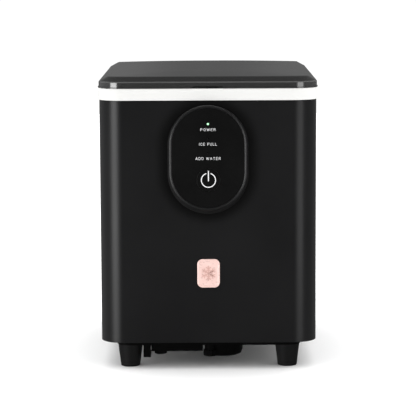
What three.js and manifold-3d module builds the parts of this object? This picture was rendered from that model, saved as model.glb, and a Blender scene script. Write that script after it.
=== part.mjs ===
// Countertop bullet-ice maker, about 222 mm wide, 292 mm deep and 301 mm high.
// Black sheet housing on four tapered feet, a pale band round the top, a smoked lid hinged at
// the back and a capsule-shaped control pod on the front. Inside are a lift-out ice basket over
// a water tank, a tilting water trough under nine freezing fingers, and a small refrigeration set.
//
// Millimetres. +X is to the right seen from the front, +Y to the back, +Z up.
// The origin is on the floor, under the middle of the object.
import * as THREE from "three";
import { mergeVertices } from "three/addons/utils/BufferGeometryUtils.js";
import Module from "manifold-3d";

const wasm = await Module();
wasm.setup();

// ---------------------------------------------------------------- driving dimensions
const GAP = 0.3; // clearance between two pieces that meet
const CORNER_STEPS = 7;
const TURN = 2 * Math.PI;

// The housing's plan outline. Everything round the outside is an inset of it.
const BODY = { half: 111, front: -138, rear: 142, frontRadius: 24, rearRadius: 13 };
const SHELL = { bottom: 28.2, top: 277.4, wall: 2.2, seam: 128 };
const BAND = { bottom: 277.7, top: 289.5, proud: 1, deck: 3.2 };
const LID = { bottom: 289.8, flange: 291, wallTop: 296.4, top: 301.3, bevel: 9.8, wall: 2.6, crown: 1.2 };
const HINGE = { y: 134, z: 296, barrel: 5.3, ear: 3.6, earIn: 56, earOut: 66, pin: 1.5, bore: 1.9 };
const BASE = {
  bottom: 23.5,
  plate: 2.8,
  step: 28.9,
  rimTop: 36,
  inset: 2.9,
  trayInset: 10.6,
  noseHalf: 95, // the tray is narrower in front, between the feet's outer sides
  noseEnd: 5,
  rim: 2.2,
};
const FOOT = { x: 81.5, frontY: -113, rearY: 113, bottomRadius: 10.1, topRadius: 13.1 };

// The control pod: capsules about a vertical centre line, measured on the front.
const POD = {
  straight: 14, // half the distance between the two arc centres
  baseRadius: 41.8,
  baseZ: 217.9,
  faceRadius: 36.6,
  faceZ: 219.7,
  face: -145.4,
  front: -146,
  holeRadius: 34,
};
const BUTTON = { x: 0.3, z: 197.2, radius: 11.6, stem: 3 };
const LENS_HEIGHTS = [254.2, 239.5, 224.9];
const BADGE = { width: 23, height: 29.4, radius: 5.5, z: 100.6, thick: 1.5 };

// The wet side: one moulded liner with a deep well in front and a shelf behind.
const WELL = { half: 84, front: -124, back: -14, floor: 44, wall: 2.4, top: 286 };
const SHELF = { back: 104, frontZ: 168, backZ: 176 };
const SUMP = { x: 15.5, y: -95, radius: 20, bottom: 8.2, bore: 17.6, plate: 38.4, top: 41.3 };
const DRAIN = { x: 1.5, y: -119.5, radius: 5.5, bottom: 17.8, bore: 3.6 };
const LEDGE = { x: 81, front: -121, back: -31, bottom: 168, top: 175.6 };
const BASKET = { bottom: 100, rim: 176, top: 178.5, wall: 2 };
const FLOAT = { x: -60, y: -70 };

// The trough turns about an axis along X that runs just under the freezing fingers' header.
const TROUGH = { y: 45, z: 236, radius: 38, wall: 2, half: 78, boss: 7 };
const FINGER = { radius: 4.5, tip: 207, rowOffset: 9, pitch: 32 };
const HEADER = { half: 74, depth: 24, bottom: 240, top: 249 };
const COVER = { half: 83.4, front: -4, rear: 103.4, bottom: 283.5, top: 286 };

// The refrigeration set behind and below the well.
const COMPRESSOR = { x: -52, y: 68, radius: 44 };
const GROMMET_SPREAD = 38;
const CONDENSER = { left: 18, right: 104, front: 84, rear: 106, bottom: 34, top: 146 };
const FAN = { x: 61, z: 90, shroudFront: 107, shroudRear: 133, bore: 40.5, wall: 2.5 };
const INLET = { x: -62, z: 58 };

// ---------------------------------------------------------------- solids from three.js shapes
function solidOf(geometry) {
  const loose = geometry.index ? geometry.toNonIndexed() : geometry;
  const bare = new THREE.BufferGeometry();
  bare.setAttribute("position", loose.getAttribute("position"));
  const merged = mergeVertices(bare, 1e-4);
  return new wasm.Manifold(
    new wasm.Mesh({
      numProp: 3,
      vertProperties: merged.attributes.position.array,
      triVerts: new Uint32Array(merged.index.array),
    }),
  );
}

function geometryOf(solid) {
  const mesh = solid.getMesh();
  const positions = new Float32Array(mesh.numVert * 3);
  for (let i = 0; i < mesh.numVert; i++) {
    const start = i * mesh.numProp;
    positions.set(mesh.vertProperties.subarray(start, start + 3), i * 3);
  }
  const geometry = new THREE.BufferGeometry();
  geometry.setAttribute("position", new THREE.BufferAttribute(positions, 3));
  geometry.setIndex(new THREE.BufferAttribute(mesh.triVerts, 1));
  const flat = geometry.toNonIndexed();
  flat.computeVertexNormals();
  return flat;
}

const join = (first, ...others) => others.flat().reduce((sum, other) => sum.add(other), first);
const cut = (first, ...others) => others.flat().reduce((rest, other) => rest.subtract(other), first);

// Rotations that carry a shape drawn in its own XY plane so that its depth runs along an axis.
const AXES = {
  x: new THREE.Matrix4().makeBasis(
    new THREE.Vector3(0, 1, 0),
    new THREE.Vector3(0, 0, 1),
    new THREE.Vector3(1, 0, 0),
  ),
  y: new THREE.Matrix4().makeBasis(
    new THREE.Vector3(0, 0, 1),
    new THREE.Vector3(1, 0, 0),
    new THREE.Vector3(0, 1, 0),
  ),
  z: new THREE.Matrix4(),
};

// Outlines are given as a person reads them: (y, z) along X, (x, z) along Y, (x, y) along Z.
const drawn = (points, axis) => (axis === "y" ? points.map(([x, z]) => [z, x]) : points);

function block(x0, x1, y0, y1, z0, z1) {
  const box = new THREE.BoxGeometry(x1 - x0, y1 - y0, z1 - z0);
  box.translate((x0 + x1) / 2, (y0 + y1) / 2, (z0 + z1) / 2);
  return solidOf(box);
}

// A block and its mirror image in the plane X = 0.
const pair = (x0, x1, ...rest) => [block(x0, x1, ...rest), block(-x1, -x0, ...rest)];

function prism(axis, points, from, to) {
  const outline = drawn(points, axis).map(([a, b]) => new THREE.Vector2(a, b));
  const extruded = new THREE.ExtrudeGeometry(new THREE.Shape(outline), {
    depth: to - from,
    bevelEnabled: false,
  });
  extruded.translate(0, 0, from);
  return solidOf(extruded.applyMatrix4(AXES[axis]));
}

// A rod along an axis, from one level to another, round the point (a, b) of the other two axes.
function rod(axis, radius, from, to, a, b, sides = 24) {
  return prism(axis, circle(a, b, radius, sides), from, to);
}

// A surface of revolution about a vertical line, from [radius, height] pairs, bottom to top.
function turned(profile, x = 0, y = 0, sides = 24) {
  const lathe = new THREE.LatheGeometry(
    profile.map(([radius, height]) => new THREE.Vector2(radius, height)),
    sides,
  );
  lathe.rotateX(Math.PI / 2);
  lathe.translate(x, y, 0);
  return solidOf(lathe);
}

// A skin between outlines with equal counts of points, one at each level, closed at both ends.
function loft(axis, sections) {
  const outlines = sections.map(([level, points]) => ({ level, points: drawn(points, axis) }));
  const vectors = ({ points }) => points.map(([a, b]) => new THREE.Vector2(a, b));
  if (THREE.ShapeUtils.area(vectors(outlines[0])) < 0) {
    outlines.forEach((outline) => (outline.points = [...outline.points].reverse()));
  }
  const count = outlines[0].points.length;
  const positions = outlines.flatMap(({ level, points }) => points.flatMap(([a, b]) => [a, b, level]));
  const faces = [];
  for (let s = 0; s < outlines.length - 1; s++) {
    for (let i = 0; i < count; i++) {
      const next = (i + 1) % count;
      const [low, lowNext] = [s * count + i, s * count + next];
      faces.push(low, lowNext, lowNext + count, low, lowNext + count, low + count);
    }
  }
  const last = (outlines.length - 1) * count;
  for (const [a, b, c] of THREE.ShapeUtils.triangulateShape(vectors(outlines[0]), [])) {
    faces.push(c, b, a);
  }
  for (const [a, b, c] of THREE.ShapeUtils.triangulateShape(vectors(outlines.at(-1)), [])) {
    faces.push(last + a, last + b, last + c);
  }
  const geometry = new THREE.BufferGeometry();
  geometry.setAttribute("position", new THREE.Float32BufferAttribute(positions, 3));
  geometry.setIndex(faces);
  return solidOf(geometry.applyMatrix4(AXES[axis]));
}

// A path that an extrusion steps along stop by stop, so that only its bends take many steps.
class Route extends THREE.Curve {
  constructor(stops) {
    super();
    this.stops = stops;
  }

  indexAt(u) {
    return Math.round(u * (this.stops.length - 1));
  }

  getPointAt(u) {
    return this.stops[this.indexAt(u)].clone();
  }

  getTangentAt(u) {
    const { stops } = this;
    const here = Math.max(1, Math.min(stops.length - 2, this.indexAt(u)));
    const arriving = stops[here].clone().sub(stops[here - 1]).normalize();
    const leaving = stops[here + 1].clone().sub(stops[here]).normalize();
    if (this.indexAt(u) < here) return arriving;
    return this.indexAt(u) > here ? leaving : arriving.add(leaving).normalize();
  }
}

// A round tube through points, with each inner corner eased by a curve of the bend length.
function tube(points, radius, bend, sides = 8) {
  const BEND_STEPS = 4;
  const corners = points.map((point) => new THREE.Vector3(...point));
  const stops = corners.slice(1, -1).flatMap((corner, i) => {
    const enter = corners[i].clone().sub(corner).setLength(bend).add(corner);
    const leave = corners[i + 2].clone().sub(corner).setLength(bend).add(corner);
    return new THREE.QuadraticBezierCurve3(enter, corner, leave).getPoints(BEND_STEPS);
  });
  const route = new Route([corners[0], ...stops, corners.at(-1)]);
  const section = new THREE.Shape(circle(0, 0, radius, sides).map(([a, b]) => new THREE.Vector2(a, b)));
  return solidOf(
    new THREE.ExtrudeGeometry(section, {
      steps: route.stops.length - 1,
      extrudePath: route,
      bevelEnabled: false,
    }),
  );
}

// ---------------------------------------------------------------- outlines
function circle(x, y, radius, sides) {
  return Array.from({ length: sides }, (_, i) => {
    const angle = (i / sides) * TURN;
    return [x + radius * Math.cos(angle), y + radius * Math.sin(angle)];
  });
}

// A rectangle with a radius for its two front corners and one for its two rear corners.
function roundedRect(x0, x1, y0, y1, front, rear = front, steps = CORNER_STEPS) {
  const corners = [
    [x0 + front, y0 + front, front],
    [x1 - front, y0 + front, front],
    [x1 - rear, y1 - rear, rear],
    [x0 + rear, y1 - rear, rear],
  ];
  return corners.flatMap(([x, y, radius], corner) =>
    Array.from({ length: steps + 1 }, (_, i) => {
      const angle = Math.PI + (corner + i / steps) * (TURN / 4);
      return [x + radius * Math.cos(angle), y + radius * Math.sin(angle)];
    }),
  );
}

function bodyOutline(inset) {
  const { half, front, rear, frontRadius, rearRadius } = BODY;
  return roundedRect(
    -half + inset,
    half - inset,
    front + inset,
    rear - inset,
    frontRadius - inset,
    rearRadius - inset,
  );
}

// An upright capsule in the XZ plane.
function capsule(z, radius, sides = 40) {
  return Array.from({ length: sides }, (_, i) => {
    const angle = ((i + 0.5) / sides) * TURN;
    const centre = z + POD.straight * Math.sign(Math.sin(angle));
    return [radius * Math.cos(angle), centre + radius * Math.sin(angle)];
  });
}

// ---------------------------------------------------------------- housing
// The front and both sides are one bent sheet. The pod's spigot passes through its front, and
// each side has a bank of louvres for the refrigeration set.
function frontShell() {
  const LOUVRES = 8;
  const louvres = Array.from({ length: LOUVRES }, (_, i) => {
    const z = 62 + 8 * i;
    return pair(BODY.half - 6, BODY.half + 6, 22, 92, z, z + 3.2);
  });
  return cut(
    prism("z", bodyOutline(0), SHELL.bottom, SHELL.top),
    prism("z", bodyOutline(SHELL.wall), SHELL.bottom - 1, SHELL.top + 1),
    block(-BODY.half - 5, BODY.half + 5, SHELL.seam, BODY.rear + 5, 0, 320),
    prism("y", capsule(POD.baseZ, POD.holeRadius), BODY.front - 5, BODY.front + 5),
    louvres.flat(),
  );
}

// The back panel carries the fan's guard, a vent for the compressor, the mains inlet and two
// pads that keep the vents off a wall.
function rearCover() {
  const wall = 2.5;
  const GUARD_RADIUS = 41;
  const GUARD_SLOTS = 9;
  const guard = Array.from({ length: GUARD_SLOTS }, (_, i) => {
    const offset = (i - (GUARD_SLOTS - 1) / 2) * 8.6;
    const reach = Math.sqrt(GUARD_RADIUS ** 2 - offset ** 2);
    const z = FAN.z + offset;
    return block(FAN.x - reach, FAN.x + reach, 136, 148, z - 2.1, z + 2.1);
  });
  const vent = Array.from({ length: 8 }, (_, i) => {
    const z = 104 + 8 * i;
    return block(-92, -22, 136, 148, z, z + 3.6);
  });
  const panel = cut(
    prism("z", bodyOutline(0), SHELL.bottom, SHELL.top),
    prism("z", bodyOutline(wall), SHELL.bottom - 1, SHELL.top + 1),
    block(-BODY.half - 5, BODY.half + 5, -150, SHELL.seam + GAP, 0, 320),
    guard,
    vent,
    block(INLET.x - 13.9, INLET.x + 13.9, 136, 148, INLET.z - 10.4, INLET.z + 10.4),
  );
  const [right, left] = pair(70, 88, BODY.rear - 1, BODY.rear + 4, 232, 244);
  return join(panel, right, left);
}

// The pale band: a skirt round the top, a deck inside it and two ears for the lid's hinge.
function topFrame() {
  const ears = [1, -1].map((side) => {
    const [from, to] = [side * HINGE.earIn, side * HINGE.earOut].sort((a, b) => a - b);
    const post = block(from, to, HINGE.y - HINGE.ear, HINGE.y + HINGE.ear, BAND.top - 1, HINGE.z);
    return join(post, rod("x", HINGE.ear, from, to, HINGE.y, HINGE.z));
  });
  const ring = cut(
    prism("z", bodyOutline(-BAND.proud), BAND.bottom, BAND.top),
    prism("z", bodyOutline(SHELL.wall), BAND.bottom - 1, BAND.top - BAND.deck),
    prism("z", roundedRect(-WELL.half, WELL.half, WELL.front, SHELF.back, 6), 270, 300),
  );
  return cut(join(ring, ears), rod("x", HINGE.bore, -80, 80, HINGE.y, HINGE.z, 16));
}

// The lid is one smoked moulding: a thin flange, an upright wall, a wide bevel and a slightly crowned top.
// Its back edge is a barrel round the hinge's axis, so that it turns on the deck without touching.
function lidEnvelope(inset, levels) {
  const rear = BODY.rear + 8;
  const half = BODY.half + 0.6 - inset;
  const front = BODY.front - 0.6 + inset;
  const radius = BODY.frontRadius + 0.6 - inset;
  return levels.map(([z, bevel]) => [
    z,
    roundedRect(-half + bevel, half - bevel, front + bevel, rear, Math.max(radius - bevel, 3), 0.5),
  ]);
}

function lid() {
  const reach = 105; // the crown is highest this far in from the sides and the front
  const crown = [18, 30, 45, 65, 90].map((inset) => {
    const slope = (reach - inset) / (reach - LID.bevel);
    return [LID.top + LID.crown * (1 - slope * slope), inset];
  });
  const envelope = loft(
    "z",
    lidEnvelope(0, [
      [LID.bottom, -0.8],
      [LID.flange, -0.8],
      [LID.flange + 0.1, 0],
      [LID.wallTop, 0],
      [LID.top, LID.bevel],
      ...crown,
    ]),
  );
  const hollow = cut(
    loft(
      "z",
      lidEnvelope(LID.wall, [
        [LID.bottom - 2, 0],
        [LID.wallTop - 1, 0],
        [LID.top - LID.wall, LID.bevel - 0.8],
      ]),
    ),
    block(-130, 130, HINGE.y - 7, 200, 280, 310),
  );
  const behindAxis = block(-130, 130, HINGE.y, 200, 280, 310);
  const barrel = envelope.intersect(rod("x", HINGE.barrel, -112, 112, HINGE.y, HINGE.z, 28));
  const fingerBoss = block(-22, 22, BODY.front + 1, BODY.front + 6, LID.bottom + 0.4, LID.wallTop);
  const fingerRecess = block(-16, 16, BODY.front - 5, BODY.front + 3.2, 280, LID.bottom + 3.2);
  return cut(
    join(cut(envelope, hollow, behindAxis), barrel, fingerBoss),
    fingerRecess,
    earRoom(1),
    earRoom(-1),
    rod("x", HINGE.bore, -80, 80, HINGE.y, HINGE.z, 16),
  );
}

// The room in the lid's back edge for one of the band's ears. The lid's top skin stays over it.
function earRoom(side) {
  const ends = [side * (HINGE.earIn - 0.6), side * (HINGE.earOut + 0.6)].sort((a, b) => a - b);
  return join(
    rod("x", HINGE.ear + 0.5, ...ends, HINGE.y, HINGE.z, 20),
    block(...ends, HINGE.y - 8, 200, 280, HINGE.z),
    block(...ends, HINGE.y, 200, 280, 310),
  );
}

function hingePin(side) {
  const [from, to] = side > 0 ? [48, 76] : [-76, -48];
  return rod("x", HINGE.pin, from, to, HINGE.y, HINGE.z, 12);
}

// The deep part of the tray: a narrow nose under the tank and a wider part under the compressor.
function trayWell(inset, from, to) {
  const side = BODY.half - BASE.trayInset - inset;
  const nose = BASE.noseHalf - inset;
  const front = BODY.front + BASE.trayInset + inset;
  const rear = BODY.rear - BASE.trayInset - inset;
  return join(
    prism("z", roundedRect(-nose, nose, front, BASE.noseEnd + 10, 13.4 - inset, 2), from, to),
    prism("z", roundedRect(-side, side, BASE.noseEnd + inset, rear, 5 - inset, 5 - inset), from, to),
  );
}

// A stepped tray that closes the underside, with openings for the sump, the drain and cooling air.
function basePan() {
  const top = BASE.bottom + BASE.plate;
  const slots = Array.from({ length: 6 }, (_, i) => {
    const x = 26 + 13 * i;
    return block(x, x + 5, 20, 76, 0, 60);
  });
  return cut(
    join(
      prism("z", bodyOutline(BASE.inset), BASE.step, BASE.rimTop),
      trayWell(0, BASE.bottom, BASE.step + 1),
    ),
    trayWell(BASE.rim, top, BASE.rimTop + 5),
    prism("z", bodyOutline(BASE.inset + BASE.rim), BASE.step + BASE.rim, BASE.rimTop + 5),
    rod("z", SUMP.radius + 0.8, 0, 60, SUMP.x, SUMP.y, 28),
    rod("z", DRAIN.radius + 0.7, 0, 60, DRAIN.x, DRAIN.y, 16),
    slots,
  );
}

function foot() {
  return turned([
    [0, 0],
    [FOOT.bottomRadius - 0.8, 0],
    [FOOT.bottomRadius, 1],
    [FOOT.topRadius, BASE.bottom - GAP],
    [0, BASE.bottom - GAP],
  ]);
}

// A folded stiffener under the front of the base, and the screw that holds it.
function crossbar() {
  return cut(
    block(-59.7, -6.2, -122, -108, 16.2, BASE.bottom - GAP),
    block(-62, -3, -119.5, -110.5, 10, BASE.bottom - 2.4),
    rod("z", 2.9, 0, 40, -50, -115, 12),
  );
}

function crossbarScrew() {
  const head = prism("z", circle(-50, -115, 6.4, 6), 12.8, 16);
  const shank = rod("z", 2.5, 16, BASE.bottom - 0.5, -50, -115, 12);
  return join(head, shank);
}

// A hook that the mains lead is tucked under when the machine is put away.
function cordClip() {
  return cut(
    block(-67.8, -60.1, -124, -106, 10.2, BASE.bottom - GAP),
    block(-72, -58, -120, -100, 14.2, 20.2),
  );
}

// ---------------------------------------------------------------- control pod
function controlBezel() {
  const skirt = loft("y", [
    [POD.front, capsule(POD.faceZ, POD.faceRadius + 1.2)],
    [POD.front + 0.5, capsule(POD.faceZ, POD.faceRadius + 2)],
    [POD.front + 3, capsule(POD.faceZ - 0.4, POD.faceRadius + 3.2)],
    [BODY.front - GAP, capsule(POD.baseZ, POD.baseRadius)],
  ]);
  const spigot = prism("y", capsule(POD.baseZ, POD.holeRadius - 0.4), BODY.front - 1, BODY.front + 3);
  return cut(
    join(skirt, spigot),
    prism("y", capsule(POD.faceZ, POD.faceRadius + GAP), POD.front - 1, POD.face + 2),
    prism("y", capsule(POD.baseZ, POD.holeRadius - 2.8), POD.front - 1, BODY.front + 5),
  );
}

function controlOverlay() {
  const lensHoles = LENS_HEIGHTS.map((z) => rod("y", 1.8, -160, -120, 0, z, 14));
  return cut(
    prism("y", capsule(POD.faceZ, POD.faceRadius), POD.face, POD.face + 1.8),
    rod("y", BUTTON.radius + 0.4, -160, -120, BUTTON.x, BUTTON.z, 32),
    lensHoles,
  );
}

// The button's disc is flush with the overlay, and its stem stands just off the switch.
function powerButton() {
  const { x, z, radius, stem } = BUTTON;
  return join(
    rod("y", radius, POD.face, POD.face + 1.7, x, z, 32),
    rod("y", stem, POD.face + 1.7, POD.face + 2.7, x, z, 12),
  );
}

function indicatorLens(z) {
  return join(
    rod("y", 1.45, POD.face + 0.1, POD.face + 6, 0, z, 14),
    rod("y", 2.8, POD.face + 2.2, POD.face + 3, 0, z, 14),
  );
}

function displayBoard() {
  const board = prism("y", capsule(POD.baseZ, POD.holeRadius - 3.4, 24), -138.6, -137);
  const tactSwitch = block(BUTTON.x - 3, BUTTON.x + 3, -141.2, -138.5, BUTTON.z - 3, BUTTON.z + 3);
  const driver = block(-9, 9, -137.1, -135.3, 218, 228);
  return join(board, tactSwitch, driver);
}

function badge() {
  const { width, height, radius, z, thick } = BADGE;
  const plate = (inset) =>
    roundedRect(
      -width / 2 + inset,
      width / 2 - inset,
      z - height / 2 + inset,
      z + height / 2 - inset,
      radius - inset,
      radius - inset,
      5,
    );
  const back = BODY.front - GAP;
  return loft("y", [
    [back - thick, plate(0.7)],
    [back - thick + 0.7, plate(0)],
    [back, plate(0)],
  ]);
}

// ---------------------------------------------------------------- well, basket and water
// One moulding: the deep well and the shelf behind it.
function iceWellLiner() {
  const { half, front, back, floor, wall, top } = WELL;
  const profile = (grow, roof) => [
    [front - grow, floor - grow],
    [back + grow, floor - grow],
    [back + grow, SHELF.frontZ - grow],
    [SHELF.back + grow, SHELF.backZ - grow],
    [SHELF.back + grow, roof],
    [front - grow, roof],
  ];
  const ledges = pair(LEDGE.x, half + 1, LEDGE.front, LEDGE.back, LEDGE.bottom, LEDGE.top);
  const flange = block(-92, 92, front - 7, SHELF.back + 7, top - 2.3, top);
  const outside = join(prism("x", profile(wall, top), -half - wall, half + wall), flange);
  const hollow = cut(prism("x", profile(0, top + 5), -half, half), ledges);
  return cut(
    outside,
    hollow,
    rod("z", SUMP.bore, floor - 5, floor + 5, SUMP.x, SUMP.y, 32),
    rod("z", DRAIN.bore, floor - 5, floor + 5, DRAIN.x, DRAIN.y, 16),
    rod("x", 4.5, -100, 100, TROUGH.y, TROUGH.z, 16), // the trough's pivots
    rod("x", 3, -100, 100, -75, 200, 10), // windows for the ice sensors
    rod("y", 4, 100, 112, 60, 279, 10), // refrigerant tubes
    rod("y", 3.4, 100, 112, 71, 279, 10),
  );
}

// The dish that the pump stands in and the drain's neck, on a plate under the well's floor.
function tankSump() {
  const dish = turned(
    [
      [0, SUMP.bottom],
      [SUMP.radius - 5, SUMP.bottom],
      [SUMP.radius - 1.4, SUMP.bottom + 1.6],
      [SUMP.radius, SUMP.bottom + 5.5],
      [SUMP.radius, SUMP.top],
      [0, SUMP.top],
    ],
    SUMP.x,
    SUMP.y,
    32,
  );
  return cut(
    join(
      dish,
      rod("z", DRAIN.radius, DRAIN.bottom, SUMP.top, DRAIN.x, DRAIN.y, 16),
      prism("z", roundedRect(-7, 38.5, -127.5, -72, 6), SUMP.plate, SUMP.top),
    ),
    rod("z", SUMP.bore, SUMP.bottom + 3.9, 60, SUMP.x, SUMP.y, 32),
    rod("z", DRAIN.bore, 0, 60, DRAIN.x, DRAIN.y, 16),
  );
}

// Foam round the deep well, with pockets for the ice sensors.
function tankInsulation() {
  const slack = 0.4;
  const skin = WELL.wall + slack;
  return cut(
    join(
      prism("z", roundedRect(-99, 99, -134.6, -6, 18, 2), BASE.rimTop + GAP, 276),
      prism("z", roundedRect(-99, 99, -132, -6, 18, 2), BASE.step + BASE.rim + GAP, BASE.rimTop + 1),
      prism("z", roundedRect(-92.1, 92.1, -124.5, -6, 11, 2), BASE.bottom + BASE.plate + GAP, BASE.rimTop + 1),
    ),
    block(
      -WELL.half - skin,
      WELL.half + skin,
      WELL.front - skin,
      WELL.back + skin,
      WELL.floor - skin,
      300,
    ),
    block(-WELL.half - skin, WELL.half + skin, -20, 0, SHELF.frontZ - skin - 1, 300),
    rod("z", SUMP.radius + 0.8, 0, 60, SUMP.x, SUMP.y, 28),
    rod("z", DRAIN.radius + 0.7, 0, 60, DRAIN.x, DRAIN.y, 16),
    pair(80, 94.5, -84, -66, 190, 210),
    block(-7.6, 39.1, -128.1, -71.4, SUMP.plate - 0.4, 60),
  );
}

// The basket hangs by its rim on the well's two ledges. Meltwater drains through its floor.
function iceBasket() {
  const { bottom, rim, top, wall } = BASKET;
  const lower = (inset) => roundedRect(-75 + inset, 75 - inset, -114 + inset, -36 - inset, 12);
  const upper = (inset) => roundedRect(-80 + inset, 80 - inset, -119.5 + inset, -31 - inset, 14);
  const slots = [];
  for (let column = 0; column < 7; column++) {
    for (let row = 0; row < 3; row++) {
      const x = -63 + 18 * column;
      const y = -106 + 22 * row;
      slots.push(block(x, x + 4, y, y + 16, bottom - 2, bottom + 6));
    }
  }
  return cut(
    join(
      loft("z", [
        [bottom, lower(0)],
        [rim + 0.5, upper(0)],
      ]),
      prism("z", roundedRect(-83.2, 83.2, -122.8, -27.8, 16), rim, top),
    ),
    loft("z", [
      [bottom + wall, lower(wall)],
      [top + 1, upper(wall)],
    ]),
    slots,
  );
}

function floatStem() {
  return turned(
    [
      [0, 44.2],
      [6, 44.2],
      [6, 48],
      [2.5, 48],
      [2.5, 86],
      [6, 86],
      [6, 88.5],
      [0, 88.5],
    ],
    FLOAT.x,
    FLOAT.y,
    16,
  );
}

function waterFloat() {
  return cut(rod("z", 10, 48.4, 61, FLOAT.x, FLOAT.y, 20), rod("z", 3.2, 40, 70, FLOAT.x, FLOAT.y, 16));
}

function waterPump() {
  return turned(
    [
      [0, 12.5],
      [14, 12.5],
      [15, 14],
      [15, 38],
      [13, 40],
      [3, 40],
      [3, 50],
      [0, 50],
    ],
    SUMP.x,
    SUMP.y,
  );
}

// From the pump, under the basket, up the back of the well and over the trough's front lip.
function pumpHose() {
  return tube(
    [
      [SUMP.x, SUMP.y, 50.3],
      [SUMP.x, SUMP.y, 68],
      [SUMP.x, -19, 68],
      [SUMP.x, -19, 260],
      [SUMP.x, 14, 260],
      [SUMP.x, 14, 249],
    ],
    4,
    7,
  );
}

// A ribbed bung that pushes up into the drain's neck.
function drainBung() {
  const RIBS = 14;
  const ribbed = Array.from({ length: RIBS * 2 }, (_, i) => {
    const angle = (i / (RIBS * 2)) * TURN;
    const radius = i % 2 ? 6.5 : 7.2;
    return [DRAIN.x + radius * Math.cos(angle), DRAIN.y + radius * Math.sin(angle)];
  });
  return join(
    prism("z", ribbed, 11.4, 17.4),
    rod("z", DRAIN.bore - 0.4, 17.3, 23.8, DRAIN.x, DRAIN.y, 16),
  );
}

function iceSensor(side) {
  const body = block(86.9, 94, -82, -68, 192, 208);
  return side > 0 ? body : block(-94, -86.9, -82, -68, 192, 208);
}

// ---------------------------------------------------------------- freezing and harvest
// Nine fingers in two staggered rows under a flat header, which hangs from the cover by posts.
function evaporator() {
  const { half, depth, bottom, top } = HEADER;
  const header = block(-half, half, TROUGH.y - depth / 2, TROUGH.y + depth / 2, bottom, top);
  const finger = (x, y) =>
    turned(
      [
        [0, FINGER.tip],
        [FINGER.radius * 0.7, FINGER.tip + 1.2],
        [FINGER.radius, FINGER.tip + 4.5],
        [FINGER.radius, bottom + 1],
        [0, bottom + 1],
      ],
      x,
      y,
      12,
    );
  const fingers = [
    ...[-2, -1, 0, 1, 2].map((i) => finger(i * FINGER.pitch, TROUGH.y - FINGER.rowOffset)),
    ...[-1.5, -0.5, 0.5, 1.5].map((i) => finger(i * FINGER.pitch, TROUGH.y + FINGER.rowOffset)),
  ];
  return join(header, fingers, pair(46, 52, 34, 39, top - 1, COVER.bottom - GAP));
}

function evaporatorCover() {
  const { half, front, rear, bottom, top } = COVER;
  const grips = [-24, 24].map((x) => rod("z", 5, top - 1, top + 2, x, 20, 16));
  return join(block(-half, half, front, rear, bottom, top), block(-half, half, front, front + 2, 270, bottom + 1), grips);
}

// The trough and the shovel are drawn about the trough's own axis.
function waterTrough() {
  const { radius, wall, half, boss } = TROUGH;
  const bowl = cut(
    rod("x", radius, -half, half, 0, 0, 44),
    rod("x", radius - wall, -half + wall, half - wall, 0, 0, 44),
    block(-half - 1, half + 1, -radius - 1, radius + 1, 0, radius + 1),
  );
  const bosses = [
    rod("x", boss, half - wall, half + 5, 0, 0, 20),
    rod("x", boss, -half - 5, -half + wall, 0, 0, 20),
  ];
  return cut(join(bowl, bosses), rod("x", 3.4, -100, 100, 0, 0, 16));
}

function iceShovel() {
  const teeth = Array.from({ length: 9 }, (_, i) => {
    const x = -68 + 17 * i;
    return block(x - 3, x + 3, -52, -43, -10, 5);
  });
  return cut(
    join(block(-74, 74, -50, -38.4, -4.2, -1.6), block(-74, 74, -41.4, -39.2, -14, -4)),
    teeth,
  );
}

const driveShaft = () => rod("x", 3, -99, -77, 0, 0, 12);
const idlerPin = () => rod("x", 3, 77, 89.5, 0, 0, 12);

function troughMotor() {
  return cut(
    join(
      rod("x", 22, -104, -88, TROUGH.y, TROUGH.z, 28),
      block(-90.5, -88, TROUGH.y - 29, TROUGH.y + 29, TROUGH.z - 7, TROUGH.z + 7),
      block(-103, -92, TROUGH.y - 9, TROUGH.y + 9, TROUGH.z - 34, TROUGH.z - 18),
    ),
    rod("x", 3.4, -100, -80, TROUGH.y, TROUGH.z, 16),
  );
}

function troughBearing() {
  return cut(
    join(
      rod("x", 9, 86.7, 92, TROUGH.y, TROUGH.z, 20),
      block(86.7, 88.7, TROUGH.y - 18, TROUGH.y + 18, TROUGH.z - 6, TROUGH.z + 6),
    ),
    rod("x", 3.4, 80, 90, TROUGH.y, TROUGH.z, 16),
  );
}

// A slotted ramp over the shelf that carries the ice forward to the basket.
function iceChute() {
  const slots = Array.from({ length: 9 }, (_, i) => {
    const x = -68 + 17 * i;
    return block(x - 2, x + 2, 4, 84, 160, 200);
  });
  const rail = [
    [-12, 168.5],
    [98, 176],
    [98, 186],
    [-12, 180],
  ];
  const ramp = [
    [-25, 178.8],
    [98, 185],
    [98, 187],
    [-25, 180.8],
  ];
  return cut(
    join(prism("x", ramp, -83.4, 83.4), prism("x", rail, 81.4, 83.4), prism("x", rail, -83.4, -81.4)),
    slots,
    block(SUMP.x - 6, SUMP.x + 6, -30, -13, 160, 200),
  );
}

// ---------------------------------------------------------------- refrigeration and electrics
function compressor() {
  const { x, y, radius } = COMPRESSOR;
  const shell = turned(
    [
      [0, 40],
      [radius - 8, 44],
      [radius - 1, 54],
      [radius, 70],
      [radius + 1.5, 71.5],
      [radius + 1.5, 75],
      [radius, 76.5],
      [radius - 2, 118],
      [radius - 9, 135],
      [radius - 25, 146],
      [0, 149],
    ],
    x,
    y,
    28,
  );
  const spread = GROMMET_SPREAD + 8;
  const plate = prism("z", roundedRect(x - spread, x + spread, y - spread, y + spread, 8), 38, 41);
  const holes = grommetSpots().map(([gx, gy]) => rod("z", 5.2, 0, 60, gx, gy, 16));
  return join(cut(plate, holes), cut(shell, block(-110, 10, 0, 130, 0, 38)));
}

function grommetSpots() {
  const s = GROMMET_SPREAD;
  return [
    [-s, -s],
    [s, -s],
    [-s, s],
    [s, s],
  ].map(([dx, dy]) => [COMPRESSOR.x + dx, COMPRESSOR.y + dy]);
}

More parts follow.
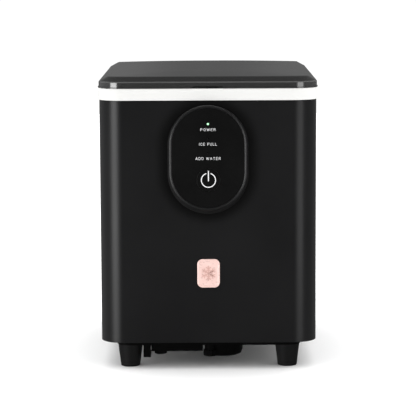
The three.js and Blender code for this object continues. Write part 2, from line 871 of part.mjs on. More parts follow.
function grommet() {
  return turned(
    [
      [0, 0],
      [8, 0],
      [8, 3],
      [6.4, 5.5],
      [8, 8],
      [8, 11.2],
      [4.8, 11.2],
      [4.8, 16],
      [0, 16],
    ],
    0,
    0,
    16,
  );
}

const terminalCover = () => prism("z", roundedRect(-6, 10, 53, 83, 4), 82, 118);

function condenser() {
  const { left, right, front, rear, bottom, top } = CONDENSER;
  const grooves = [];
  for (let x = left + 5; x < right - 3; x += 6) {
    grooves.push(block(x, x + 2.6, front - 1, front + 5, bottom + 3, top - 3));
    grooves.push(block(x, x + 2.6, rear - 5, rear + 1, bottom + 3, top - 3));
  }
  return cut(block(left, right, front, rear, bottom, top), grooves);
}

function fanShroud() {
  const { x, z, shroudFront, shroudRear, bore, wall } = FAN;
  const { left, right, bottom, top } = CONDENSER;
  const struts = [0, 1, 2].map((i) => {
    const bar = new THREE.BoxGeometry(bore + 1, 3, 5);
    bar.translate((bore + 1) / 2, 0, 0);
    bar.rotateY((i / 3) * TURN + 0.4);
    bar.translate(x, shroudFront + 4, z);
    return solidOf(bar);
  });
  const seat = rod("y", 15.5, shroudFront + 2.5, shroudFront + 5.5, x, z, 20);
  return join(
    cut(
      join(
        block(left, right, shroudFront, shroudFront + 2.5, bottom, top),
        rod("y", bore + wall, shroudFront, shroudRear, x, z, 36),
      ),
      rod("y", bore, shroudFront - 1, shroudRear + 1, x, z, 36),
    ),
    struts,
    seat,
  );
}

const fanMotor = () => rod("y", 13.5, FAN.shroudFront + 5.8, FAN.shroudFront + 15, FAN.x, FAN.z, 20);

// The rotor is drawn about its own axis: a hub cup and seven pitched blades.
function fanRotor() {
  const BLADES = 7;
  const blades = Array.from({ length: BLADES }, (_, i) => {
    const blade = new THREE.BoxGeometry(1.4, 11, 24);
    blade.rotateZ(0.7);
    blade.translate(0, 5, 25.5);
    blade.rotateY((i / BLADES) * TURN);
    return solidOf(blade);
  });
  return join(rod("y", 15, 0.5, 9.5, 0, 0, 24), blades);
}

const suctionTube = () =>
  tube(
    [
      [60, 38, HEADER.top + GAP],
      [60, 38, 279],
      [60, 115, 279],
      [60, 115, 158],
      [-24, 115, 158],
      [-24, 84, 158],
      [-24, 84, 142.5],
    ],
    3,
    8,
  );

const dischargeTube = () =>
  tube(
    [
      [-74, 52, 143.8],
      [-74, 52, 158],
      [30, 52, 158],
      [30, 95, 158],
      [30, 95, CONDENSER.top + GAP],
    ],
    2.5,
    6,
  );

const evaporatorInletTube = () =>
  tube(
    [
      [71, 38, HEADER.top + GAP],
      [71, 38, 279],
      [71, 114, 279],
      [71, 114, 158],
      [71, 40, 158],
      [71, 40, 138.5],
    ],
    2.4,
    8,
  );

function hotGasValve() {
  return join(
    block(59, 83, 28, 52, 112, 134),
    rod("z", 5, 96, 138, 71, 40, 16),
    rod("y", 3, 14, 30, 71, 104, 12),
    rod("y", 5, 28, 40, 71, 104, 12),
  );
}

function filterDrier() {
  return turned(
    [
      [0, 48],
      [2.6, 48],
      [2.6, 58],
      [8.5, 66],
      [8.5, 108],
      [2.6, 117],
      [2.6, 128],
      [0, 128],
    ],
    38,
    62,
    16,
  );
}

// The board stands on four pillars off the right-hand wall of the housing.
function mainBoard() {
  const board = block(99, 100.6, 2, 78, 42, 138);
  const pillars = [8, 72].flatMap((y) => [48, 132].map((z) => rod("x", 3, 100, 108.4, y, z, 10)));
  const relay = block(84, 99.2, 8, 28, 112, 130);
  const capacitors = [12, 28].map((y) => rod("x", 6, 82, 99.2, y, 96, 14));
  const heatSink = block(85, 99.2, 44, 50, 96, 132);
  const connectors = [0, 1, 2].map((i) => block(92, 99.2, 54, 64, 92 + 14 * i, 102 + 14 * i));
  return join(board, pillars, relay, capacitors, heatSink, connectors);
}

const transformer = () =>
  join(block(76, 98.7, 14, 44, 46, 80), block(72, 76.5, 20, 38, 50, 76));

// An appliance inlet: a flange on the back panel, a hooded socket and three blades in it.
function powerInlet() {
  const { x, z } = INLET;
  const mouth = roundedRect(x - 11.8, x + 11.8, z - 8.2, z + 8.2, 3, 1, 3);
  const blades = [-6.5, 0, 6.5].map((dx) => {
    const lift = dx === 0 ? 2.6 : -1.6;
    return block(x + dx - 1, x + dx + 1, 129, 139.5, z + lift - 2, z + lift + 2);
  });
  const housing = cut(
    join(
      block(x - 13.5, x + 13.5, 125, 143, z - 10, z + 10),
      prism("y", roundedRect(x - 24, x + 24, z - 12, z + 12, 5), BODY.rear + 0.2, BODY.rear + 2.4),
    ),
    prism("y", mouth, 129.5, 150),
    [-19, 19].map((dx) => rod("y", 1.7, 140, 150, x + dx, z, 12)),
  );
  return join(housing, blades);
}

// ---------------------------------------------------------------- finishes
const FINISHES = {
  blackShell: { color: 0x202022, roughness: 0.42, metalness: 0.35 },
  blackPlastic: { color: 0x17181a, roughness: 0.6, metalness: 0 },
  whitePlastic: { color: 0xf2f2f0, roughness: 0.35, metalness: 0 },
  smokedLid: { color: 0x3a3b3d, roughness: 0.12, metalness: 0 },
  podTrim: { color: 0x26272a, roughness: 0.4, metalness: 0.1 },
  podFace: { color: 0x141416, roughness: 0.25, metalness: 0 },
  lensLit: { color: 0xd8ffe0, roughness: 0.3, metalness: 0 },
  lensDark: { color: 0x0a0a0a, roughness: 0.3, metalness: 0 },
  roseGold: { color: 0xe8bfb4, roughness: 0.3, metalness: 0.85 },
  liner: { color: 0xe9ecee, roughness: 0.4, metalness: 0 },
  foam: { color: 0xd9dcd8, roughness: 0.95, metalness: 0 },
  basket: { color: 0xdfe7ea, roughness: 0.3, metalness: 0 },
  rubber: { color: 0x1b1b1c, roughness: 0.85, metalness: 0 },
  silicone: { color: 0xcfd6d8, roughness: 0.5, metalness: 0 },
  steel: { color: 0x9a9da1, roughness: 0.35, metalness: 0.9 },
  nickel: { color: 0xc4c6c8, roughness: 0.22, metalness: 0.95 },
  aluminium: { color: 0xb6b9bc, roughness: 0.45, metalness: 0.9 },
  copper: { color: 0xb87350, roughness: 0.3, metalness: 0.95 },
  circuit: { color: 0x1f5b3a, roughness: 0.55, metalness: 0 },
  yellowTape: { color: 0xc9a227, roughness: 0.6, metalness: 0 },
};

// ---------------------------------------------------------------- assembly
const iceMaker = new THREE.Group();

function add(parent, name, finish, solid, position = [0, 0, 0]) {
  const mesh = new THREE.Mesh(geometryOf(solid), new THREE.MeshStandardMaterial(FINISHES[finish]));
  mesh.name = name;
  mesh.position.set(...position);
  parent.add(mesh);
}

function subGroup(...position) {
  const group = new THREE.Group();
  group.position.set(...position);
  iceMaker.add(group);
  return group;
}

const housing = subGroup(0, 0, 0);
add(housing, "base_pan", "blackPlastic", basePan());
add(housing, "front_shell", "blackShell", frontShell());
add(housing, "rear_cover", "blackPlastic", rearCover());
add(housing, "top_frame", "whitePlastic", topFrame());
add(housing, "base_crossbar", "steel", crossbar());
add(housing, "crossbar_screw", "steel", crossbarScrew());
add(housing, "cord_clip", "blackPlastic", cordClip());
for (const [end, y] of [["front", FOOT.frontY], ["rear", FOOT.rearY]]) {
  for (const [side, x] of [["left", -FOOT.x], ["right", FOOT.x]]) {
    add(housing, `foot_${end}_${side}`, "rubber", foot(), [x, y, 0]);
  }
}

const lidAssembly = subGroup(0, 0, 0);
add(lidAssembly, "lid", "smokedLid", lid());
add(lidAssembly, "hinge_pin_left", "steel", hingePin(-1));
add(lidAssembly, "hinge_pin_right", "steel", hingePin(1));

const pod = subGroup(0, 0, 0);
add(pod, "control_bezel", "podTrim", controlBezel());
add(pod, "control_overlay", "podFace", controlOverlay());
add(pod, "power_button", "podFace", powerButton());
add(pod, "display_board", "circuit", displayBoard());
["power", "ice_full", "add_water"].forEach((meaning, i) => {
  add(pod, `lens_${meaning}`, i === 0 ? "lensLit" : "lensDark", indicatorLens(LENS_HEIGHTS[i]));
});
add(pod, "front_badge", "roseGold", badge());

const wetSide = subGroup(0, 0, 0);
add(wetSide, "ice_well_liner", "liner", iceWellLiner());
add(wetSide, "tank_sump", "blackPlastic", tankSump());
add(wetSide, "tank_insulation", "foam", tankInsulation());
add(wetSide, "ice_basket", "basket", iceBasket());
add(wetSide, "float_stem", "liner", floatStem());
add(wetSide, "water_float", "liner", waterFloat());
add(wetSide, "water_pump", "blackPlastic", waterPump());
add(wetSide, "pump_hose", "silicone", pumpHose());
add(wetSide, "drain_bung", "rubber", drainBung());
add(wetSide, "ice_sensor_left", "blackPlastic", iceSensor(-1));
add(wetSide, "ice_sensor_right", "blackPlastic", iceSensor(1));

const harvest = subGroup(0, 0, 0);
add(harvest, "evaporator", "nickel", evaporator());
add(harvest, "evaporator_cover", "liner", evaporatorCover());
add(harvest, "ice_chute", "liner", iceChute());
add(harvest, "trough_motor", "blackPlastic", troughMotor());
add(harvest, "trough_bearing", "blackPlastic", troughBearing());

const troughAssembly = subGroup(0, TROUGH.y, TROUGH.z);
add(troughAssembly, "water_trough", "basket", waterTrough());
add(troughAssembly, "ice_shovel", "basket", iceShovel());
add(troughAssembly, "trough_drive_shaft", "steel", driveShaft());
add(troughAssembly, "trough_idler_pin", "steel", idlerPin());

const refrigeration = subGroup(0, 0, 0);
add(refrigeration, "compressor", "blackShell", compressor());
add(refrigeration, "compressor_terminal_cover", "blackPlastic", terminalCover());
grommetSpots().forEach(([x, y], i) => {
  const floor = BASE.bottom + BASE.plate + 0.2;
  add(refrigeration, `compressor_grommet_${i + 1}`, "rubber", grommet(), [x, y, floor]);
});
add(refrigeration, "condenser", "aluminium", condenser());
add(refrigeration, "fan_shroud", "blackPlastic", fanShroud());
add(refrigeration, "fan_motor", "blackPlastic", fanMotor());
add(refrigeration, "fan_rotor", "blackPlastic", fanRotor(), [FAN.x, FAN.shroudFront + 15.4, FAN.z]);
add(refrigeration, "suction_tube", "copper", suctionTube());
add(refrigeration, "discharge_tube", "copper", dischargeTube());
add(refrigeration, "evaporator_inlet_tube", "copper", evaporatorInletTube());
add(refrigeration, "hot_gas_valve", "steel", hotGasValve());
add(refrigeration, "filter_drier", "copper", filterDrier());

const electrics = subGroup(0, 0, 0);
add(electrics, "main_board", "circuit", mainBoard());
add(electrics, "board_transformer", "yellowTape", transformer());
add(electrics, "power_inlet", "blackPlastic", powerInlet());

export default iceMaker;
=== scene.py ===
import math

import bmesh
import bpy
from mathutils import Matrix, Vector


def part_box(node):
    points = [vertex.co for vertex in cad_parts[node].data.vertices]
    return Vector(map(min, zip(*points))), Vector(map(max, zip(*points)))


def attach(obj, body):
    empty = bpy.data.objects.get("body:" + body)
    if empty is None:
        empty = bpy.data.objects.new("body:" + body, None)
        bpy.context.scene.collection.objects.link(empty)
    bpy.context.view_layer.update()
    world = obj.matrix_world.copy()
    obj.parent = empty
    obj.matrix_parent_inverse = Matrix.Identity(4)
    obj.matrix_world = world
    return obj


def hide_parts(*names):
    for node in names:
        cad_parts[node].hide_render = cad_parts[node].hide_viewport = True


# The looks of a countertop bullet-ice maker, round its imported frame. Geometry is written in
# millimetres in the frame's axes (+X right, +Y back, +Z up) and turned into metres in one place.
MM = 0.001
TURN = 2 * math.pi

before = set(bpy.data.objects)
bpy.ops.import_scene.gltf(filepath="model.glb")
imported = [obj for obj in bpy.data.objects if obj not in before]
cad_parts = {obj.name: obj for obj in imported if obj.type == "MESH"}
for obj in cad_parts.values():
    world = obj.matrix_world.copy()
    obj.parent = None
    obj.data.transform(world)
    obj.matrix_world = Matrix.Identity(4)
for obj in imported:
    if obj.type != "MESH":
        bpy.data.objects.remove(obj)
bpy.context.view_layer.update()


def box_mm(node):
    low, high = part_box(node)
    return low / MM, high / MM


# ------------------------------------------------------------------ sizes taken from the frame
SHELL_LOW, SHELL_HIGH = box_mm("front_shell")
REAR_LOW, REAR_HIGH = box_mm("rear_cover")
BAND_LOW = box_mm("top_frame")[0]
LID_LOW, LID_HIGH = box_mm("lid")
BEZEL_LOW, BEZEL_HIGH = box_mm("control_bezel")
OVERLAY_LOW, OVERLAY_HIGH = box_mm("control_overlay")
BUTTON_LOW, BUTTON_HIGH = box_mm("power_button")
BADGE_LOW, BADGE_HIGH = box_mm("front_badge")

BODY_HALF = SHELL_HIGH.x
BODY_FRONT = SHELL_LOW.y
BODY_REAR = REAR_HIGH.y - 4
BODY_RADIUS = 24
BODY_REAR_RADIUS = 13
SHELL_WALL = 2.2
REAR_WALL = 2.5
SEAM = SHELL_HIGH.y

BAND_TOP = 289.5
BAND_DECK = 3.2
WELL_HALF, WELL_FRONT, WELL_REAR = 84, -124, 104

LID_WALL = 2.6
LID_RIM_TOP = 296.4
LID_BEVEL = 9.8
LID_TOP = 301.3  # where the crown starts
LID_CROWN = LID_HIGH.z - LID_TOP
# Painted light and shade by height: the rim is painted a little paler than the bevel, with a painted highlight
# line along its upper edge, and the bevel is painted darker.
LID_PAINTED_LIGHT_AND_SHADE = [
    (LID_RIM_TOP - 1.1, 1.3),
    (LID_RIM_TOP - 0.75, 3.8),
    (LID_RIM_TOP + 0.05, 3.8),
    (LID_RIM_TOP + 0.35, 0.5),
    (LID_TOP - 0.6, 0.5),
    (LID_TOP - 0.1, 1.0),
]
CROWN_REACH = 105
FLANGE_TOP = 291
HINGE_Y, HINGE_Z, HINGE_BARREL = 134, 296, 5.3
EAR_IN, EAR_OUT, EAR_RADIUS = 56, 66, 3.6
HINGE_BORE = 1.9

POD_STRAIGHT = 14
POD_BASE_Z = 217.9
POD_FOOT_RADIUS, POD_FOOT_Z = 41.1, 217.1  # the skirt's outline on the shell
POD_FACE_RADIUS = OVERLAY_HIGH.x + 0.1
POD_FACE_Z = (OVERLAY_LOW.z + OVERLAY_HIGH.z) / 2
POD_HOLE = 34
POD_FACE = OVERLAY_LOW.y
LAMP_HOLE = 1.15
LAMP_TO_WORDS = 5.65
WORDS_HEIGHT = 2.8
POD_SHADE = 0.04  # what is left of the shell's tone close to the pod
POD_SHADE_FROM, POD_SHADE_TO = 41, 56  # distances from the capsule's spine
# These depths and this roughness also set the painted shade that darkens the skirt towards the shell.
TRIM_DULL_FROM, TRIM_DULL_TO, TRIM_DULL = 0.6, 4.5, 0.8  # depths behind the rim, and a roughness
BUTTON_X = (BUTTON_LOW.x + BUTTON_HIGH.x) / 2
BUTTON_Z = (BUTTON_LOW.z + BUTTON_HIGH.z) / 2
BUTTON_RADIUS = (BUTTON_HIGH.x - BUTTON_LOW.x) / 2

# ------------------------------------------------------------------ camera
CAMERA_DISTANCE = 1950  # from the housing's front face
CAMERA_X = -0.27
CAMERA_HEIGHT = 429.1
CAMERA_PITCH = math.radians(7.63)
CAMERA_ROLL = math.radians(-0.25)
CAMERA_LENS = 167.2


def make_camera():
    data = bpy.data.cameras.new("camera")
    data.lens = CAMERA_LENS
    data.sensor_width = 36
    data.clip_start, data.clip_end = 0.1, 100
    camera = bpy.data.objects.new("camera", data)
    camera.location = Vector((CAMERA_X, BODY_FRONT - CAMERA_DISTANCE, CAMERA_HEIGHT)) * MM
    turn = Matrix.Rotation(math.pi / 2 - CAMERA_PITCH, 3, "X") @ Matrix.Rotation(CAMERA_ROLL, 3, "Z")
    camera.rotation_euler = turn.to_euler()
    bpy.context.scene.collection.objects.link(camera)
    bpy.context.scene.camera = camera


# ------------------------------------------------------------------ mesh tools
def make_object(name, points, faces):
    mesh = bpy.data.meshes.new(name)
    mesh.from_pydata([Vector(p) * MM for p in points], [], faces)
    obj = bpy.data.objects.new(name, mesh)
    bpy.context.scene.collection.objects.link(obj)
    work = bmesh.new()
    work.from_mesh(mesh)
    bmesh.ops.recalc_face_normals(work, faces=work.faces)
    work.to_mesh(mesh)
    work.free()
    return obj


def place(axis, a, b, level):
    """Outlines read (y, z) along x, (x, z) along y and (x, y) along z."""
    return {"x": (level, a, b), "y": (a, level, b), "z": (a, b, level)}[axis]


def loft(name, rings, hoop=False):
    """A skin through rings of equal counts, capped at both ends or closed into a hoop."""
    count = len(rings[0])
    points = [p for ring in rings for p in ring]
    faces = []
    for r in range(len(rings) if hoop else len(rings) - 1):
        a, b = r * count, (r + 1) % len(rings) * count
        for i in range(count):
            j = (i + 1) % count
            faces.append((a + i, a + j, b + j, b + i))
    if not hoop:
        last = (len(rings) - 1) * count
        faces += [tuple(reversed(range(count))), tuple(last + i for i in range(count))]
    return make_object(name, points, faces)


def prism(name, axis, outline, start, end):
    return loft(name, [[place(axis, a, b, level) for a, b in outline] for level in (start, end)])


def block(name, x0, x1, y0, y1, z0, z1):
    return prism(name, "z", [(x0, y0), (x1, y0), (x1, y1), (x0, y1)], z0, z1)


def rod(name, axis, radius, start, end, a, b, sides=48):
    return prism(name, axis, circle(a, b, radius, sides), start, end)


def turned(name, profile, x=0, y=0, sides=64):
    """A surface of revolution about a vertical line, from (radius, height) pairs off the axis."""
    rings = [[(x + px, y + py, height) for px, py in circle(0, 0, radius, sides)] for radius, height in profile]
    return loft(name, rings)


def circle(x, y, radius, sides):
    return [
        (x + radius * math.cos(TURN * i / sides), y + radius * math.sin(TURN * i / sides))
        for i in range(sides)
    ]


def rounded_rect(x0, x1, y0, y1, front, rear=None, steps=18):
    """A rectangle with one radius for its first two corners and one for the last two."""
    rear = front if rear is None else rear
    corners = [
        (x0 + front, y0 + front, front),
        (x1 - front, y0 + front, front),
        (x1 - rear, y1 - rear, rear),
        (x0 + rear, y1 - rear, rear),
    ]
    outline = []
    for corner, (x, y, radius) in enumerate(corners):
        for i in range(steps + 1):
            angle = math.pi + (corner + i / steps) * TURN / 4
            outline.append((x + radius * math.cos(angle), y + radius * math.sin(angle)))
    return outline


def body_outline(inset):
    return rounded_rect(
        -BODY_HALF + inset,
        BODY_HALF - inset,
        BODY_FRONT + inset,
        BODY_REAR - inset,
        BODY_RADIUS - inset,
        BODY_REAR_RADIUS - inset,
    )


def capsule(z, radius, sides=128):
    """An upright capsule in the XZ plane."""
    outline = []
    for i in range(sides):
        angle = (i + 0.5) / sides * TURN
        centre = z + math.copysign(POD_STRAIGHT, math.sin(angle))
        outline.append((radius * math.cos(angle), centre + radius * math.sin(angle)))
    return outline


def slot_outline(a0, a1, b0, b1, steps=6):
    """A slot with round ends along its first direction."""
    radius = (b1 - b0) / 2
    return rounded_rect(a0, a1, b0, b1, radius * 0.98, steps=steps)


def bake(obj):
    """Applies an object's modifiers to its mesh."""
    graph = bpy.context.evaluated_depsgraph_get()
    mesh = bpy.data.meshes.new_from_object(obj.evaluated_get(graph))
    obj.modifiers.clear()
    obj.data = mesh


def combine(obj, operation, tools):
    for tool in tools:
        modifier = obj.modifiers.new(operation.lower(), "BOOLEAN")
        modifier.operation = operation
        modifier.solver = "EXACT"
        modifier.object = tool
    bake(obj)
    for tool in tools:
        bpy.data.objects.remove(tool)
    return obj


def cut(obj, *tools):
    return combine(obj, "DIFFERENCE", tools)


def join(obj, *tools):
    return combine(obj, "UNION", tools)


def mark_smooth(mesh, angle):
    work = bmesh.new()
    work.from_mesh(mesh)
    for face in work.faces:
        face.smooth = True
    for edge in work.edges:
        edge.smooth = len(edge.link_faces) == 2 and edge.calc_face_angle(0) < angle
    work.to_mesh(mesh)
    work.free()


def merged(name, objects):
    """One object from several, without a boolean."""
    work = bmesh.new()
    for obj in objects:
        work.from_mesh(obj.data)
    mesh = bpy.data.meshes.new(name)
    work.to_mesh(mesh)
    work.free()
    for obj in objects:
        bpy.data.objects.remove(obj)
    result = bpy.data.objects.new(name, mesh)
    bpy.context.scene.collection.objects.link(result)
    return result


def dress(obj, body, finish, nodes=(), bevel=0.0, segments=3, angle=32):
    """Gives a piece its edges, shading, material and body, and hides the CAD nodes it stands for."""
    limit = math.radians(angle)
    if bevel:
        modifier = obj.modifiers.new("edges", "BEVEL")
        modifier.width = bevel * MM
        modifier.segments = segments
        modifier.limit_method = "ANGLE"
        modifier.angle_limit = limit
        bake(obj)
    mark_smooth(obj.data, limit)
    weighted = obj.modifiers.new("normals", "WEIGHTED_NORMAL")
    weighted.keep_sharp = True
    obj.data.materials.clear()
    obj.data.materials.append(finish)
    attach(obj, body)
    if nodes:
        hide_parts(*nodes)
    return obj


# ------------------------------------------------------------------ materials
class Material:
    """A Principled material with procedural detail. Positions are the frame's own, in metres."""

    def __init__(self, name, colour, roughness, **sockets):
        self.material = bpy.data.materials.new(name)
        self.material.use_nodes = True
        self.tree = self.material.node_tree
        self.shader = self.tree.nodes["Principled BSDF"]
        self.shader.inputs["Base Color"].default_value = linear(colour)
        self.shader.inputs["Roughness"].default_value = roughness
        for label, value in sockets.items():
            self.shader.inputs[label.replace("_", " ")].default_value = value
        self.roughness = roughness
        self.colour = colour
        self.coordinates = self.node("ShaderNodeTexCoord").outputs["Object"]

    def node(self, kind, **values):
        made = self.tree.nodes.new(kind)
        for label, value in values.items():
            setattr(made, label, value)
        return made

    def link(self, source, target):
        self.tree.links.new(source, target)

    def split_coordinates(self):
        split = self.node("ShaderNodeSeparateXYZ")
        self.link(self.coordinates, split.inputs[0])
        return split

    def noise(self, per_mm, detail=3.0, stretch=(1, 1, 1)):
        """Noise with about this many features to a millimetre."""
        mapping = self.node("ShaderNodeMapping")
        mapping.inputs["Scale"].default_value = stretch
        texture = self.node("ShaderNodeTexNoise")
        texture.inputs["Scale"].default_value = per_mm / MM
        texture.inputs["Detail"].default_value = detail
        texture.inputs["Roughness"].default_value = 0.5
        self.link(self.coordinates, mapping.inputs["Vector"])
        self.link(mapping.outputs["Vector"], texture.inputs["Vector"])
        return texture.outputs["Fac"]

    def ranged(self, source, low, high, from_low=0.3, from_high=0.7, **values):
        remap = self.node("ShaderNodeMapRange", **values)
        for label, value in (("From Min", from_low), ("From Max", from_high), ("To Min", low), ("To Max", high)):
            remap.inputs[label].default_value = value
        self.link(source, remap.inputs["Value"])
        return remap.outputs["Result"]

    def vary_roughness(self, source, spread):
        self.link(
            self.ranged(source, self.roughness - spread, self.roughness + spread),
            self.shader.inputs["Roughness"],
        )
        return self

    def vary_colour(self, source, other):
        mix = self.node("ShaderNodeMix", data_type="RGBA")
        mix.inputs["A"].default_value = linear(self.colour)
        mix.inputs["B"].default_value = linear(other)
        self.link(self.ranged(source, 0, 1), mix.inputs["Factor"])
        self.link(mix.outputs["Result"], self.shader.inputs["Base Color"])
        return self

    def shade_round_pod(self):
        """Darkens the colour softly towards the pod's capsule, where less of the room reaches."""
        split = self.split_coordinates()
        height = self.maths("SUBTRACT", split.outputs["Z"], POD_BASE_Z * MM)
        above = self.maths("MAXIMUM", self.maths("SUBTRACT", self.maths("ABSOLUTE", height), POD_STRAIGHT * MM), 0)
        across = self.maths("MULTIPLY", split.outputs["X"], split.outputs["X"])
        reach = self.maths("SQRT", self.maths("ADD", across, self.maths("MULTIPLY", above, above)))
        near = self.ranged(
            reach, POD_SHADE, 1, POD_SHADE_FROM * MM, POD_SHADE_TO * MM, interpolation_type="SMOOTHSTEP"
        )
        behind = self.ranged(split.outputs["Y"], 0, 1, (BODY_FRONT + 1) * MM, (BODY_FRONT + 2) * MM)
        return self.scale_colour(self.maths("MAXIMUM", near, behind))

    def scale_colour(self, amount):
        colour = self.shader.inputs["Base Color"].links[0].from_socket
        shade = self.node("ShaderNodeMix", data_type="RGBA", blend_type="MULTIPLY")
        shade.inputs["Factor"].default_value = 1
        self.link(colour, shade.inputs["A"])
        self.link(amount, shade.inputs["B"])
        self.link(shade.outputs["Result"], self.shader.inputs["Base Color"])
        return self

    def paint_light_and_shade_by_height(self, stops):
        """Paints light and shade by scaling the colour by height, given as (height in mm, factor) pairs from the
        lowest up.
        """
        split = self.split_coordinates()
        low, high = stops[0][0], stops[-1][0]
        peak = max(factor for _, factor in stops)
        ramp = self.node("ShaderNodeValToRGB")
        self.link(self.ranged(split.outputs["Z"], 0, 1, low * MM, high * MM), ramp.inputs["Fac"])
        marks = ramp.color_ramp.elements
        for mark, (_, factor) in ((marks[0], stops[0]), (marks[-1], stops[-1])):
            mark.color = (*[factor / peak] * 3, 1)
        for height, factor in stops[1:-1]:
            marks.new((height - low) / (high - low)).color = (*[factor / peak] * 3, 1)
        return self.scale_colour(self.maths("MULTIPLY", ramp.outputs["Color"], peak))

    def roughen_and_shade_towards_foot(self):
        """Roughens the pod's skirt from its rim back to the shell, and darkens its colour in step as painted
        shade.
        """
        split = self.split_coordinates()
        start, end = (BEZEL_LOW.y + TRIM_DULL_FROM) * MM, (BEZEL_LOW.y + TRIM_DULL_TO) * MM
        rough = self.ranged(
            split.outputs["Y"], self.roughness, TRIM_DULL, start, end, interpolation_type="SMOOTHSTEP"
        )
        self.link(rough, self.shader.inputs["Roughness"])
        return self.scale_colour(self.maths("DIVIDE", self.roughness, rough))

    def maths(self, operation, *values):
        made = self.node("ShaderNodeMath", operation=operation)
        for socket, value in zip(made.inputs, values):
            if isinstance(value, (int, float)):
                socket.default_value = value
            else:
                self.link(value, socket)
        return made.outputs[0]

    def bump(self, source, depth_mm):
        bump = self.node("ShaderNodeBump")
        bump.inputs["Distance"].default_value = depth_mm * MM
        bump.inputs["Strength"].default_value = 1
        self.link(source, bump.inputs["Height"])
        self.link(bump.outputs["Normal"], self.shader.inputs["Normal"])
        return self


def linear(colour):
    """A hex colour as linear RGBA."""
    channels = [int(colour[i : i + 2], 16) / 255 for i in (0, 2, 4)]
    return (*[c / 12.92 if c <= 0.04045 else ((c + 0.055) / 1.055) ** 2.4 for c in channels], 1)


def grained(name, colour, roughness, bumps, tone, stretch=(1, 1, 1), **sockets):
    """Bumps are (per mm, detail, depth in mm), and the second tone is (per mm, detail, colour)."""
    made = Material(name, colour, roughness, **sockets)
    made.bump(made.noise(*bumps[:2], stretch), bumps[2])
    return made.vary_colour(made.noise(*tone[:2]), tone[2])


def moulded(name, colour, roughness, grain, tone, **sockets):
    """Injection-moulded plastic: a fine grain, with slow changes of gloss and tone."""
    made = grained(name, colour, roughness, (1.6, 2.0, grain), tone, **sockets)
    return made.vary_roughness(made.noise(0.03, 3.0), 0.04)


